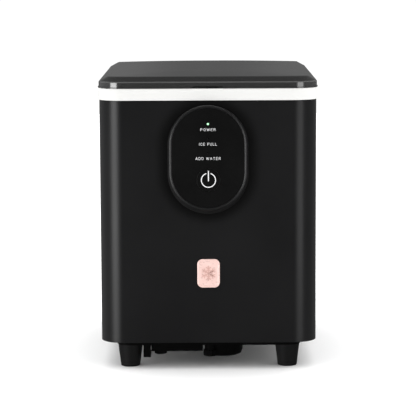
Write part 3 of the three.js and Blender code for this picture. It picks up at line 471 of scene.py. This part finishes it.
def make_materials():
    looks = {}

    shell = Material("shell_enamel", "121213", 0.33, Specular_IOR_Level=0.25)
    shell.bump(shell.noise(0.9, 2.0), 0.003)
    shell.vary_roughness(shell.noise(0.012, 2.0), 0.015)
    shell.vary_colour(shell.noise(0.012, 3.0), "151516")
    shell.shade_round_pod()
    looks["shell"] = shell

    looks["black"] = moulded(
        "black_plastic", "121213", 0.5, 0.02, (0.05, 4.0, "171718"), Specular_IOR_Level=0.32
    )
    # Black plastic for the parts underneath, darker than the other black plastic: partly their own black, partly
    # painted shade under the body.
    looks["under"] = moulded(
        "underside_shaded_plastic", "020202", 0.6, 0.02, (0.05, 4.0, "050505"), Specular_IOR_Level=0.05
    )
    looks["band"] = moulded(
        "white_band_plastic", "dadad8", 0.45, 0.004, (0.02, 3.0, "dbdbd9"), Specular_IOR_Level=0.3
    )

    lid = Material("smoked_plastic", "242424", 0.14, Specular_IOR_Level=1.0)
    lid.bump(lid.noise(1.6, 2.0), 0.0015)
    lid.vary_roughness(lid.noise(0.012, 2.0), 0.012)
    # Painted highlight and shade on the lid, by height, over its own tone.
    lid.vary_colour(lid.noise(0.015, 3.0), "272727").paint_light_and_shade_by_height(LID_PAINTED_LIGHT_AND_SHADE)
    looks["lid"] = lid

    trim = moulded("pod_trim_plastic", "0f0f10", 0.36, 0.008, (0.05, 3.0, "121213"), Specular_IOR_Level=0.6)
    # The skirt is roughened towards the shell and its colour darkened there as painted shade.
    looks["trim"] = trim.roughen_and_shade_towards_foot()
    looks["face"] = moulded(
        "pod_face_film", "040404", 0.42, 0.01, (0.2, 4.0, "060606"), Specular_IOR_Level=0.17
    )
    looks["ink"] = moulded("white_ink", "f0f0f0", 0.5, 0.004, (2.0, 2.0, "e6e6e8"))
    looks["print"] = moulded("grey_white_ink", "ebebec", 0.5, 0.004, (2.0, 2.0, "e4e4e6"))
    lit = moulded("lamp_lit", "8fd3a0", 0.25, 0.004, (1.0, 2.0, "82c493"), Emission_Strength=1.3)
    lit.shader.inputs["Emission Color"].default_value = linear("b8ffc6")
    looks["lamp_on"] = lit
    looks["lamp_off"] = moulded("lamp_dark", "050505", 0.2, 0.004, (1.0, 2.0, "0a0b0a"))

    # The second rose gold is a darker copy of the first: painted shade that picks out the raised snowflake.
    for label, colour, other in (("rose", "efcbc3", "f3d2ca"), ("rose_shaded", "d9aca1", "deb4aa")):
        rose = Material(f"{label}_gold", colour, 0.3, Metallic=0.12)
        rose.bump(rose.noise(1.2, 3.0, (1, 1, 0.08)), 0.008)
        rose.vary_roughness(rose.noise(0.4, 3.0), 0.05)
        rose.vary_colour(rose.noise(0.15, 3.0), other)
        looks[label] = rose

    looks["liner"] = moulded("white_liner_plastic", "e6e9ea", 0.35, 0.01, (0.02, 3.0, "dfe3e5"))
    looks["basket"] = moulded(
        "frosted_plastic", "dfe8ec", 0.3, 0.01, (0.05, 3.0, "d4e0e6"), Transmission_Weight=0.45, IOR=1.5
    )
    looks["foam"] = grained("rigid_foam", "d6d8d2", 0.95, (0.9, 5.0, 0.25), (0.6, 4.0, "c9ccc4"))
    looks["rubber"] = grained(
        "black_rubber", "0b0b0c", 0.6, (1.2, 4.0, 0.03), (0.3, 3.0, "0d0d0e"), Specular_IOR_Level=0.18
    )
    looks["silicone"] = grained(
        "milky_silicone", "d5dadb", 0.45, (0.8, 2.0, 0.02), (0.1, 3.0, "cbd2d3"), Subsurface_Weight=0.3
    )

    looks["steel"] = metal("zinc_steel", "9da0a3", 0.36, "8f9296", 0.5)
    looks["nickel"] = metal("nickel_plate", "cfcdc8", 0.2, "c2c0bb", 0.1)
    looks["aluminium"] = metal("aluminium_fins", "b9bcbf", 0.42, "a8abae", 0.4)
    looks["copper"] = metal("drawn_copper", "c07a56", 0.3, "a8633f", 0.12)

    looks["circuit"] = grained("solder_mask", "1f5b3a", 0.45, (0.7, 2.0, 0.05), (0.25, 5.0, "17482d"))
    looks["tape"] = grained(
        "yellow_tape", "c9a227", 0.5, (0.4, 2.0, 0.1), (0.2, 3.0, "b58f1d"), stretch=(1, 1, 4)
    )
    looks["enamel"] = grained(
        "compressor_enamel", "141415", 0.28, (0.35, 3.0, 0.06), (0.05, 3.0, "1a1a1b")
    )
    return {label: look.material for label, look in looks.items()}


def metal(name, colour, roughness, other, per_mm):
    made = grained(name, colour, roughness, (per_mm * 4, 3.0, 0.012), (per_mm, 4.0, other), Metallic=1.0)
    return made.vary_roughness(made.noise(per_mm, 4.0), 0.08)


LOOKS = make_materials()


# ------------------------------------------------------------------ housing
def front_shell():
    """One bent sheet round the front and both sides, with louvres low on each side."""
    low, high = SHELL_LOW.z, SHELL_HIGH.z
    shell = prism("shell_wrap", "z", body_outline(0), low, high)
    cut(
        shell,
        prism("t", "z", body_outline(SHELL_WALL), low - 1, high + 1),
        block("t", -150, 150, SEAM, 200, low - 5, high + 5),
        prism("t", "y", capsule(POD_BASE_Z, POD_HOLE, 64), BODY_FRONT - 5, BODY_FRONT + 5),
    )
    louvres = [
        prism("t", "x", slot_outline(22, 92, 62 + 8 * i, 65.2 + 8 * i), -BODY_HALF - 5, BODY_HALF + 5)
        for i in range(8)
    ]
    cut(shell, *louvres)
    dress(shell, "housing", LOOKS["shell"], ["front_shell"], 0.45)


def rear_cover():
    """The back panel: a fan guard of rounded slots, a vent, the inlet's opening and wall pads."""
    low, high = REAR_LOW.z, REAR_HIGH.z
    cover = prism("rear_panel", "z", body_outline(0), low, high)
    cut(
        cover,
        prism("t", "z", body_outline(REAR_WALL), low - 1, high + 1),
        block("t", -150, 150, -200, REAR_LOW.y, low - 5, high + 5),
    )
    fan_x, fan_z = 61, 90
    openings = []
    for i in range(9):
        offset = (i - 4) * 8.6
        reach = math.sqrt(41**2 - offset**2)
        outline = slot_outline(fan_x - reach, fan_x + reach, fan_z + offset - 2.1, fan_z + offset + 2.1)
        openings.append(prism("t", "y", outline, BODY_REAR - 6, BODY_REAR + 6))
    for i in range(8):
        outline = slot_outline(-92, -22, 104 + 8 * i, 107.6 + 8 * i)
        openings.append(prism("t", "y", outline, BODY_REAR - 6, BODY_REAR + 6))
    openings.append(block("t", -75.9, -48.1, BODY_REAR - 6, BODY_REAR + 6, 47.6, 68.4))
    cut(cover, *openings)
    pads = [
        prism("t", "y", rounded_rect(x - 9, x + 9, 232, 244, 3), BODY_REAR - 1, REAR_HIGH.y)
        for x in (-79, 79)
    ]
    join(cover, *pads)
    dress(cover, "housing", LOOKS["black"], ["rear_cover"], 0.45)


def top_frame():
    """The pale band: a skirt, a deck round the well's mouth, and two ears for the lid's hinge."""
    low = BAND_LOW.z
    band = prism("white_band", "z", body_outline(-1), low, BAND_TOP)
    cut(
        band,
        prism("t", "z", body_outline(SHELL_WALL), low - 1, BAND_TOP - BAND_DECK),
        prism("t", "z", rounded_rect(-WELL_HALF, WELL_HALF, WELL_FRONT, WELL_REAR, 6), 270, 300),
    )
    ears = []
    for side in (-1, 1):
        start, end = sorted((side * EAR_IN, side * EAR_OUT))
        ears.append(
            block("t", start, end, HINGE_Y - EAR_RADIUS, HINGE_Y + EAR_RADIUS, BAND_TOP - 1, HINGE_Z)
        )
        ears.append(rod("t", "x", EAR_RADIUS, start, end, HINGE_Y, HINGE_Z, 40))
    join(band, *ears)
    cut(band, rod("t", "x", HINGE_BORE, -80, 80, HINGE_Y, HINGE_Z, 24))
    dress(band, "housing", LOOKS["band"], ["top_frame"], 0.5)


# ------------------------------------------------------------------ lid
def lid_rings(inset, levels):
    half = BODY_HALF + 0.6 - inset
    front = BODY_FRONT - 0.6 + inset
    radius = BODY_RADIUS + 0.6 - inset
    rings = []
    for z, bevel in levels:
        corner = max(radius - bevel, 3)
        outline = rounded_rect(-half + bevel, half - bevel, front + bevel, BODY_REAR + 8, corner, 0.5)
        rings.append([(x, y, z) for x, y in outline])
    return rings


def crown(inset):
    return LID_TOP + LID_CROWN * (1 - ((CROWN_REACH - inset) / (CROWN_REACH - LID_BEVEL)) ** 2)


def lid():
    """A smoked moulding: flange, upright rim, wide bevel, crowned top, and a barrel at the back."""
    bottom, top = LID_LOW.z, LID_TOP
    levels = [
        (bottom, -0.5),
        (bottom + 0.25, -0.78),
        (FLANGE_TOP - 0.3, -0.8),
        (FLANGE_TOP - 0.05, -0.55),
        (FLANGE_TOP, 0.0),
        (LID_RIM_TOP - 0.9, 0.0),
        (LID_RIM_TOP - 0.45, 0.12),
        (LID_RIM_TOP - 0.05, 0.45),
        (LID_RIM_TOP + 0.2, 0.95),
        (LID_RIM_TOP + 0.4, 1.6),
        (top - 0.55, LID_BEVEL - 1.1),
        (top - 0.15, LID_BEVEL - 0.1),
        *[(crown(inset), inset) for inset in (11, 14, 18, 23, 29, 36, 44, 53, 63, 75, 90)],
    ]
    cover = loft("lid_cover", lid_rings(0, levels))
    barrel = loft("t", lid_rings(0, levels))
    combine(barrel, "INTERSECT", [rod("t", "x", HINGE_BARREL, -112, 112, HINGE_Y, HINGE_Z, 64)])
    hollow = loft(
        "t",
        lid_rings(LID_WALL, [(bottom - 2, 0), (LID_RIM_TOP - 1, 0), (top - LID_WALL, LID_BEVEL - 0.8)]),
    )
    cut(hollow, block("t", -130, 130, HINGE_Y - 7, 200, 280, 310))
    cut(cover, hollow, block("t", -130, 130, HINGE_Y, 200, 280, 310))
    boss = block("t", -22, 22, BODY_FRONT + 1, BODY_FRONT + 6, bottom + 0.4, LID_RIM_TOP)
    join(cover, barrel, boss)
    rooms = []
    for side in (-1, 1):
        start, end = sorted((side * (EAR_IN - 0.6), side * (EAR_OUT + 0.6)))
        rooms += [
            rod("t", "x", EAR_RADIUS + 0.5, start, end, HINGE_Y, HINGE_Z),
            block("t", start, end, HINGE_Y - 8, 200, 280, HINGE_Z),
            block("t", start, end, HINGE_Y, 200, 280, 310),
        ]
    recess = prism("t", "y", slot_outline(-16, 16, bottom - 2.4, bottom + 2.4), BODY_FRONT - 5, BODY_FRONT + 3.2)
    cut(cover, recess, *rooms, rod("t", "x", HINGE_BORE, -80, 80, HINGE_Y, HINGE_Z, 24))
    dress(cover, "lid", LOOKS["lid"], ["lid"], angle=24)


# ------------------------------------------------------------------ control pod
def control_bezel():
    """A skirt with a full round rim, which turns down to meet the face in a fine groove."""
    base, rim = BEZEL_LOW.y + 7.7, BEZEL_LOW.y
    crest = POD_FACE_RADIUS + 1.5
    sections = []
    steps = 14
    for i in range(steps + 1):
        angle = i / steps * math.pi / 2
        blend = math.sin(angle)
        radius = crest + (POD_FOOT_RADIUS - crest) * math.cos(angle)
        sections.append((base + (rim - base) * blend, POD_FOOT_Z + (POD_FACE_Z - POD_FOOT_Z) * blend, radius))
    for i in range(1, 6):
        angle = i / 5 * math.pi / 2
        depth = rim + 1.1 * (1 - math.cos(angle))
        sections.append((depth, POD_FACE_Z, crest - 1.25 * math.sin(angle)))
    inner = POD_FACE_RADIUS + 0.25
    sections += [
        (POD_FACE + 2, POD_FACE_Z, inner),
        (POD_FACE + 2, POD_BASE_Z, POD_HOLE - 2.8),
        (BEZEL_HIGH.y, POD_BASE_Z, POD_HOLE - 2.8),
        (BEZEL_HIGH.y, POD_BASE_Z, POD_HOLE - 0.4),
        (base, POD_BASE_Z, POD_HOLE - 0.4),
    ]
    rings = [[(x, y, z) for x, z in capsule(centre, radius)] for y, centre, radius in sections]
    bezel = loft("pod_bezel", rings, hoop=True)
    dress(bezel, "housing", LOOKS["trim"], ["control_bezel"], angle=50)


def control_face():
    plate = prism("pod_face", "y", capsule(POD_FACE_Z, POD_FACE_RADIUS), POD_FACE, OVERLAY_HIGH.y)
    holes = [rod("t", "y", LAMP_HOLE, -160, -120, 0, z, 32) for z in lamp_heights()]
    cut(plate, rod("t", "y", BUTTON_RADIUS + 0.4, -160, -120, BUTTON_X, BUTTON_Z, 96), *holes)
    dress(plate, "housing", LOOKS["face"], ["control_overlay"], 0.25)

    disc = rod("button_disc", "y", BUTTON_RADIUS, POD_FACE, POD_FACE + 1.7, BUTTON_X, BUTTON_Z, 96)
    join(disc, rod("t", "y", 3, POD_FACE + 1.5, BUTTON_HIGH.y, BUTTON_X, BUTTON_Z))
    dress(disc, "power_button", LOOKS["face"], ["power_button"], 0.25)


LAMPS = "power", "ice_full", "add_water"


def lamp_heights():
    lows_highs = [box_mm(f"lens_{name}") for name in LAMPS]
    return [(low.z + high.z) / 2 for low, high in lows_highs]


def lamps():
    """Each lamp is a light pipe: a flanged rod with a domed tip in the face's hole."""
    tip = [(0.2, 0), (0.45, 0.08), (0.65, 0.3), (0.78, 0.62), (0.78, 2.1)]
    profile = tip + [(2.8, 2.1), (2.8, 2.9), (1.3, 2.9), (1.3, 5.9)]
    for name, z in zip(LAMPS, lamp_heights()):
        rings = [
            [(x, POD_FACE + 0.1 + depth, z + dz) for x, dz in circle(0, 0, radius, 32)]
            for radius, depth in profile
        ]
        lit = name == "power"
        look, slot = (LOOKS["lamp_on"], "lens_lit") if lit else (LOOKS["lamp_off"], "lens_dark")
        dress(loft(f"lamp_{name}", rings), "housing", look, [f"lens_{name}"])


# Plain capitals as pen strokes in a cell one unit high: (width, strokes).
BOWL = [(0.0, 1.0), (0.45, 1.0), (0.68, 0.94), (0.76, 0.76), (0.68, 0.56), (0.45, 0.5), (0.0, 0.5)]
STEM = [(0.0, 0.0), (0.0, 1.0)]
LEFT_CURVE = [(0.14, 0.86), (0, 0.5), (0.14, 0.14)]
ROUND = [
    (0.48, 1), (0.16, 0.86), (0, 0.5), (0.16, 0.14), (0.48, 0), (0.8, 0.14), (0.96, 0.5), (0.8, 0.86), (0.48, 1)
]
LETTERS = {
    "A": (0.9, [[(0, 0), (0.45, 1), (0.9, 0)], [(0.16, 0.34), (0.74, 0.34)]]),
    "C": (0.86, [[(0.86, 0.8), (0.68, 0.97), (0.42, 1), *LEFT_CURVE, (0.42, 0), (0.68, 0.03), (0.86, 0.2)]]),
    "D": (0.86, [STEM, [(0, 1), (0.42, 1), (0.72, 0.86), (0.86, 0.5), (0.72, 0.14), (0.42, 0), (0, 0)]]),
    "E": (0.7, [STEM, [(0, 1), (0.7, 1)], [(0, 0.52), (0.6, 0.52)], [(0, 0), (0.7, 0)]]),
    "F": (0.68, [STEM, [(0, 1), (0.68, 1)], [(0, 0.52), (0.58, 0.52)]]),
    "I": (0.0, [STEM]),
    "L": (0.64, [STEM, [(0, 0), (0.64, 0)]]),
    "O": (0.96, [ROUND]),
    "P": (0.76, [STEM, BOWL]),
    "R": (0.78, [STEM, BOWL, [(0.42, 0.5), (0.78, 0)]]),
    "T": (0.8, [[(0, 1), (0.8, 1)], [(0.4, 0), (0.4, 1)]]),
    "U": (0.82, [[(0, 1), (0, 0.3), (0.14, 0.06), (0.41, 0), (0.68, 0.06), (0.82, 0.3), (0.82, 1)]]),
    "W": (1.24, [[(0, 1), (0.31, 0), (0.62, 0.92), (0.93, 0), (1.24, 1)]]),
    " ": (0.2, []),
}
LETTER_GAP = 0.6
PEN = 0.155  # half a stroke's width


def label(words, width, height, z):
    """Printed capitals on the pod's face, fitted to a width and a capital's height."""
    total = sum(LETTERS[letter][0] for letter in words) + LETTER_GAP * (len(words) - 1)
    wide, tall = (width - 2 * PEN) / total, height - 2 * PEN
    strokes = []
    x = -width / 2 + PEN
    for letter in words:
        advance, lines = LETTERS[letter]
        for line in lines:
            for start, end in zip(line, line[1:]):
                path = [(x + a * wide, b * tall - tall / 2) for a, b in (start, end)]
                lift = 0.05 + 0.004 * (len(strokes) % 5)
                strokes.append(ribbon("t", path, PEN, 0, z, lift))
        x += (advance + LETTER_GAP) * wide
    printed = merged("label_" + words.lower().replace(" ", "_"), strokes)
    dress(printed, "housing", LOOKS["print"])


def power_symbol():
    """A broken ring and a bar, printed on the button."""
    outer, inner = 7.62, 6.74
    gap = math.asin(2.6 / 7.5)
    steps = 72
    start, end = math.pi / 2 + gap, math.pi / 2 + TURN - gap
    mid, stroke = (outer + inner) / 2, (outer - inner) / 2
    angles = [start + (end - start) * i / steps for i in range(steps + 1)]
    path = [(mid * math.cos(angle), mid * math.sin(angle)) for angle in angles]
    ring = ribbon("power_ring", path, stroke, BUTTON_X, BUTTON_Z)
    bar = ribbon("power_bar", [(0, 9.1), (0, 4.5), (0, -0.6)], 0.5, BUTTON_X, BUTTON_Z)
    dress(merged("power_symbol", [ring, bar]), "power_button", LOOKS["ink"])


def ribbon(name, path, half, x, z, lift=0.06):
    """A flat printed stroke with round ends along a path in the XZ plane."""
    left, right = [], []
    for i, (a, b) in enumerate(path):
        before, after = path[max(0, i - 1)], path[min(len(path) - 1, i + 1)]
        direction = Vector((after[0] - before[0], after[1] - before[1])).normalized()
        left.append((a - direction.y * half, b + direction.x * half))
        right.append((a + direction.y * half, b - direction.x * half))

    def end_cap(centre, first):
        start = math.atan2(first[1] - centre[1], first[0] - centre[0])
        angles = [start - math.pi * k / 8 for k in range(1, 8)]
        return [(centre[0] + half * math.cos(angle), centre[1] + half * math.sin(angle)) for angle in angles]

    outline = left + end_cap(path[-1], left[-1]) + right[::-1] + end_cap(path[0], right[0])
    return prism(name, "y", [(x + a, z + b) for a, b in outline], POD_FACE - lift, POD_FACE + 0.05)


# ------------------------------------------------------------------ badge
BADGE_CORNER = 5.5
EMBLEM_PEN = 0.42  # half a stroke's width


def badge():
    """A small plated plaque with a raised rim and a plain snowflake."""
    x_half = (BADGE_HIGH.x - BADGE_LOW.x) / 2
    z_mid = (BADGE_LOW.z + BADGE_HIGH.z) / 2
    z_half = (BADGE_HIGH.z - BADGE_LOW.z) / 2
    front = BADGE_LOW.y

    def ring(inset, y):
        x, z = x_half - inset, z_half - inset
        outline = rounded_rect(-x, x, z_mid - z, z_mid + z, BADGE_CORNER - inset, steps=10)
        return [(x, y, z) for x, z in outline]

    edge = [(0, 1.5), (0, 0.55), (0.12, 0.25), (0.45, 0.04), (0.8, 0)]
    levels = edge + [(1.5, 0), (1.8, 0.1), (2.1, 0.45), (2.4, 0.5)]
    plate = loft("badge_plate", [ring(inset, front + depth) for inset, depth in levels])
    dress(plate, "housing", LOOKS["rose"], ["front_badge"], angle=50)

    # One arm lies along the first axis, and each stroke starts on it.
    arm = [(0, (7.6, 0)), (4.2, (6.4, 2.1)), (4.2, (6.4, -2.1)), (2.2, (3.6, 1.3)), (2.2, (3.6, -1.3))]
    turns = [k * TURN / 6 + TURN / 4 for k in range(6)]
    strokes = []
    for turn, (along, end) in [(turn, stroke) for turn in turns for stroke in arm]:
        start = (along, 0)
        direction = Vector((end[0] - start[0], end[1] - start[1])).normalized() * EMBLEM_PEN
        side = Vector((-direction.y, direction.x))
        corners = [
            Vector(start) - direction * 0.5 + side,
            Vector(end) + direction * 0.5 + side,
            Vector(end) + direction * 0.5 - side,
            Vector(start) - direction * 0.5 - side,
        ]
        outline = [
            (c.x * math.cos(turn) - c.y * math.sin(turn), z_mid + c.x * math.sin(turn) + c.y * math.cos(turn))
            for c in corners
        ]
        strokes.append(prism("t", "y", outline, front + 0.15, front + 0.6))
    emblem = join(strokes[0], *strokes[1:])
    emblem.name = "badge_emblem"
    # The emblem takes the darker rose gold copy, painted shade for its relief.
    dress(emblem, "housing", LOOKS["rose_shaded"], bevel=0.1, segments=2)


# ------------------------------------------------------------------ feet
def feet():
    """Tapered feet with a thin pad let into the underside."""
    for end in ("front", "rear"):
        for side in ("left", "right"):
            node = f"foot_{end}_{side}"
            low, high = box_mm(node)
            x, y = (low.x + high.x) / 2, (low.y + high.y) / 2
            top = high.z
            profile = [
                (0.5, 0.25),
                (7.6, 0.25),
                (7.8, 0),
                (9.2, 0),
                (9.8, 0.3),
                (10.1, 1.0),
                (10.2, 2.4),
                (10.05, 2.55),
                (10.05, 2.85),
                (10.3, 3.0),
                (12.6, top - 0.6),
                (12.3, top),
                (0.5, top),
            ]
            foot = turned(f"{node}_cone", profile, x, y)
            dress(foot, "housing", LOOKS["rubber"], [node], angle=40)


# ------------------------------------------------------------------ carried-over CAD nodes
CARRIED = {
    # The parts underneath take the darker black, which carries painted shade.
    "under": ["base_pan", "cord_clip", "tank_sump", "base_crossbar", "crossbar_screw", "drain_bung"],
    "black": [
        "water_pump",
        "ice_sensor_left",
        "ice_sensor_right",
        "trough_motor",
        "trough_bearing",
        "compressor_terminal_cover",
        "fan_shroud",
        "fan_motor",
        "fan_rotor",
        "power_inlet",
    ],
    "liner": ["ice_well_liner", "evaporator_cover", "ice_chute", "float_stem", "water_float"],
    "basket": ["ice_basket", "water_trough", "ice_shovel"],
    "foam": ["tank_insulation"],
    "rubber": [f"compressor_grommet_{i}" for i in range(1, 5)],
    "silicone": ["pump_hose"],
    "enamel": ["compressor"],
    "steel": [
        "hinge_pin_left",
        "hinge_pin_right",
        "trough_drive_shaft",
        "trough_idler_pin",
        "hot_gas_valve",
    ],
    "nickel": ["evaporator"],
    "aluminium": ["condenser"],
    "copper": ["suction_tube", "discharge_tube", "evaporator_inlet_tube", "filter_drier"],
    "circuit": ["main_board", "display_board"],
    "tape": ["board_transformer"],
}


def smoothing_nodes():
    """A modifier that welds a faceted mesh and smooths it, except over sharp edges."""
    group = bpy.data.node_groups.new("smooth_by_angle", "GeometryNodeTree")
    group.interface.new_socket("Geometry", in_out="INPUT", socket_type="NodeSocketGeometry")
    group.interface.new_socket("Geometry", in_out="OUTPUT", socket_type="NodeSocketGeometry")
    add, wire = group.nodes.new, group.links.new
    weld = add("GeometryNodeMergeByDistance")
    weld.inputs["Distance"].default_value = 0.005 * MM
    angle = add("GeometryNodeInputMeshEdgeAngle")
    compare = add("FunctionNodeCompare")
    compare.data_type, compare.operation = "FLOAT", "LESS_THAN"
    compare.inputs["B"].default_value = math.radians(34)
    edges = add("GeometryNodeSetShadeSmooth")
    edges.domain = "EDGE"
    faces = add("GeometryNodeSetShadeSmooth")
    faces.domain = "FACE"
    start, end = add("NodeGroupInput"), add("NodeGroupOutput")
    wire(start.outputs[0], weld.inputs["Geometry"])
    wire(weld.outputs["Geometry"], faces.inputs["Geometry"])
    wire(faces.outputs["Geometry"], edges.inputs["Geometry"])
    wire(angle.outputs["Unsigned Angle"], compare.inputs["A"])
    wire(compare.outputs["Result"], edges.inputs["Shade Smooth"])
    wire(edges.outputs["Geometry"], end.inputs[0])
    return group


def dress_carried():
    group = smoothing_nodes()
    for look, nodes in CARRIED.items():
        for node in nodes:
            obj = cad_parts[node]
            for slot in obj.material_slots:
                slot.material = LOOKS[look]
            obj.modifiers.new("smooth", "NODES").node_group = group


# ------------------------------------------------------------------ stage and light
def make_stage():
    floor = make_object("floor", [(x, y, -0.05) for x, y in circle(0, 0, 3000, 96)], [tuple(range(96))])
    look = Material("floor_paper", "fbfbfb", 0.9)
    look.vary_colour(look.noise(0.004, 2.0), "fafafa")
    floor.data.materials.append(look.material)
    floor.visible_glossy = False


ROOM = 2.0  # radiance of the room as it lights matt surfaces
ROOM_FRONT = 0.45  # the share of it that comes from the camera's side
GLOSS = 0.03  # radiance of the room in reflections, before the parts below are added
REAR_GLOW = 0.093
SIDE_GLOWS = (-0.35, -0.95, 0.3), (0.35, 0.95, 0.1), (-0.01, -0.05, 0.055), (0.01, 0.05, 0.04)
BACKDROP = 1.05  # radiance behind the object, as the camera sees it


def softbox(name, location, target, width, height, radiance):
    """An upright light that shows in gloss only, and that the floor doesn't hide."""
    data = bpy.data.lights.new(name, "AREA")
    data.shape = "RECTANGLE"
    data.size, data.size_y = width, height
    data.energy = radiance * math.pi * width * height
    data.use_shadow = False
    light = bpy.data.objects.new(name, data)
    light.location = location
    light.rotation_euler = (Vector(target) - Vector(location)).to_track_quat("-Z", "Y").to_euler()
    light.visible_diffuse = False
    bpy.context.scene.collection.objects.link(light)


def make_world():
    """A pale room, darker towards the camera. In gloss it is dim, but paler behind and beside."""
    world = bpy.data.worlds.new("studio")
    world.use_nodes = True
    bpy.context.scene.world = world
    tree = world.node_tree
    split = tree.nodes.new("ShaderNodeSeparateXYZ")
    tree.links.new(tree.nodes.new("ShaderNodeTexCoord").outputs["Generated"], split.inputs[0])

    def glow(axis, start, end, low, high):
        ramp = tree.nodes.new("ShaderNodeMapRange")
        ramp.interpolation_type = "SMOOTHSTEP"
        for label, value in (("From Min", start), ("From Max", end), ("To Min", low), ("To Max", high)):
            ramp.inputs[label].default_value = value
        tree.links.new(split.outputs[axis], ramp.inputs["Value"])
        return ramp.outputs["Result"]

    def background(strength):
        made = tree.nodes.new("ShaderNodeBackground")
        made.inputs["Color"].default_value = (1, 1, 1, 1)
        if isinstance(strength, float):
            made.inputs["Strength"].default_value = strength
        else:
            tree.links.new(strength, made.inputs["Strength"])
        return made.outputs[0]

    gloss = glow("Y", -0.6, 0.4, GLOSS, GLOSS + REAR_GLOW)
    for start, end, amount in SIDE_GLOWS:
        add = tree.nodes.new("ShaderNodeMath")
        tree.links.new(gloss, add.inputs[0])
        tree.links.new(glow("X", start, end, 0, amount), add.inputs[1])
        gloss = add.outputs[0]

    path = tree.nodes.new("ShaderNodeLightPath")
    shown = background(glow("Y", -0.8, -0.2, ROOM * ROOM_FRONT, ROOM))
    for kind, seen in (("Is Glossy Ray", background(gloss)), ("Is Camera Ray", background(BACKDROP))):
        mix = tree.nodes.new("ShaderNodeMixShader")
        tree.links.new(path.outputs[kind], mix.inputs["Fac"])
        tree.links.new(shown, mix.inputs[1])
        tree.links.new(seen, mix.inputs[2])
        shown = mix.outputs[0]
    tree.links.new(shown, tree.nodes["World Output"].inputs["Surface"])


def make_lights():
    # The softboxes end low enough not to glare in the lid's top, and reach down past the floor,
    # where the housing's lower corners mirror them.
    softbox("key_left", (-1.15, -1.3, 0.05), (0, 0, 0.05), 0.86, 0.72, 7.3)
    softbox("key_right", (0.95, -1.4, 0.05), (0, 0, 0.05), 0.8, 0.72, 3.0)
    bpy.context.scene.view_settings.view_transform = "Standard"


# ------------------------------------------------------------------ build
make_camera()
make_world()
make_lights()
make_stage()
front_shell()
rear_cover()
top_frame()
lid()
control_bezel()
control_face()
lamps()
for (words, width), lamp_z in zip((("POWER", 15.3), ("ICE FULL", 17.8), ("ADD WATER", 25.4)), lamp_heights()):
    label(words, width, WORDS_HEIGHT, lamp_z - LAMP_TO_WORDS)
power_symbol()
badge()
feet()
dress_carried()
